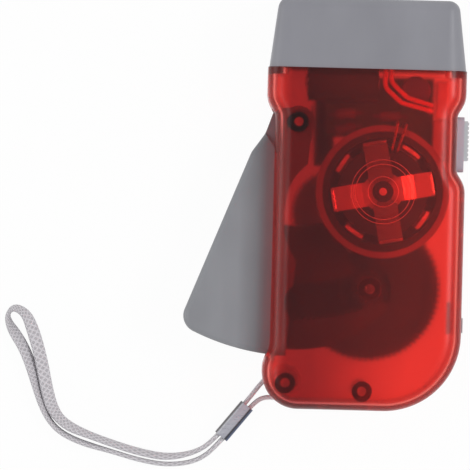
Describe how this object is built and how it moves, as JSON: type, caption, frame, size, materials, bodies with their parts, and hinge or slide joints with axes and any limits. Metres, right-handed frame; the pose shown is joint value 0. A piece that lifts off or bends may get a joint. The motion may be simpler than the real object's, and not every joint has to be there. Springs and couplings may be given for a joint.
{
  "type": "squeeze-lever dynamo torch",
  "caption": "Hand-powered torch: translucent case with a side squeeze lever that turns a geared dynamo, tapered lamp head, slide switch and wrist strap.",
  "frame": {"origin": "on the flat back face, at the middle of the case where the lamp head's centre line crosses it", "axes": "+Y to the lamp head, +X to the switch side, +Z out of the front face"},
  "size_m": [0.1207, 0.1243, 0.028],
  "materials": {
    "translucent_red": "frosted",
    "grey_plastic": "satin",
    "light_grey_plastic": "satin",
    "clear_lens": "clear",
    "bright_reflector": "polished",
    "lamp_resin": "clear",
    "steel": "bright",
    "zinc_plate": "zinc",
    "spring_steel": "oiled",
    "white_nylon": "natural",
    "black_nylon": "moulded",
    "brass": "turned",
    "ferrite": "sintered",
    "copper_wire": "enamelled",
    "board_green": "laminate",
    "diode_black": "moulded",
    "capacitor_sleeve": "sleeved",
    "cell_steel": "nickel",
    "cell_sleeve": "shrunk",
    "wire_red": "insulated",
    "strap_grey": "braided",
    "ferrule_chrome": "polished"
  },
  "bodies": {
    "case": {"back_cover": "translucent_red", "front_cover": "translucent_red", "case_screws": "zinc_plate", "head_bezel": "grey_plastic", "head_lens": "clear_lens", "reflector": "bright_reflector", "led_lamps": "lamp_resin", "led_board": "board_green", "return_spring": "spring_steel", "drive_axle": "steel", "idler_axle": "steel", "flywheel_shaft": "steel", "stator_front_plate": "zinc_plate", "stator_rear_plate": "zinc_plate", "stator_hub": "black_nylon", "coil_bobbin": "black_nylon", "coil_winding": "copper_wire", "circuit_board": "board_green", "rectifier_diodes": "diode_black", "storage_capacitor": "capacitor_sleeve", "battery_cells": "cell_steel", "battery_sleeve": "cell_sleeve", "battery_tabs": "cell_steel", "led_wires": "wire_red", "coil_wires": "copper_wire", "switch_body": "white_nylon", "switch_guard": "light_grey_plastic", "wrist_strap": "strap_grey", "strap_tether": "strap_grey", "strap_ferrule": "ferrule_chrome"},
    "lever": {"squeeze_lever": "grey_plastic", "lever_rack": "black_nylon"},
    "pinion": {"ratchet_pinion": "black_nylon"},
    "drive": {"drive_gear": "black_nylon"},
    "idler": {"idler_gear": "white_nylon"},
    "flywheel": {"flywheel_pinion": "brass", "flywheel_cup": "white_nylon", "ring_magnet": "ferrite"},
    "switch": {"switch_knob": "grey_plastic"},
    "lock": {"lock_slider": "grey_plastic"}
  },
  "joints": [
    {"name": "lever_squeeze", "type": "hinge", "parent": "case", "child": "lever", "pos_m": [-0.0176, 0.0209, 0.015], "axis": [0, 0, 1], "range_deg": [0, 21.5], "stiffness_Nm_per_rad": 0.12, "springref_deg": -17.19, "deforming": ["return_spring"]},
    {"name": "pinion_turn", "type": "hinge", "parent": "case", "child": "pinion", "pos_m": [0.00187, -0.02215, 0.013], "axis": [0, 0, 1], "range_deg": [0, 275.97]},
    {"name": "flywheel_spin", "type": "hinge", "parent": "case", "child": "flywheel", "pos_m": [0.00468, 0.00325, 0.014], "axis": [0, 0, 1], "continuous": true},
    {"name": "idler_spin", "type": "hinge", "parent": "case", "child": "idler", "pos_m": [-0.00763, -0.00231, 0.006], "axis": [0, 0, 1], "continuous": true},
    {"name": "drive_spin", "type": "hinge", "parent": "case", "child": "drive", "pos_m": [0.00187, -0.02215, 0.004], "axis": [0, 0, 1], "continuous": true},
    {"name": "switch_slide", "type": "slide", "parent": "case", "child": "switch", "axis": [0, 1, 0], "range_m": [-0.002, 0.002]},
    {"name": "lock_slide", "type": "slide", "parent": "case", "child": "lock", "axis": [0, 1, 0], "range_m": [0, 0.002]}
  ],
  "couplings": [
    {"joint": "pinion_turn", "follows": "lever_squeeze", "ratio": 12.812},
    {"joint": "idler_spin", "follows": "flywheel_spin", "ratio": -0.22727},
    {"joint": "drive_spin", "follows": "flywheel_spin", "ratio": 0.035885}
  ]
}
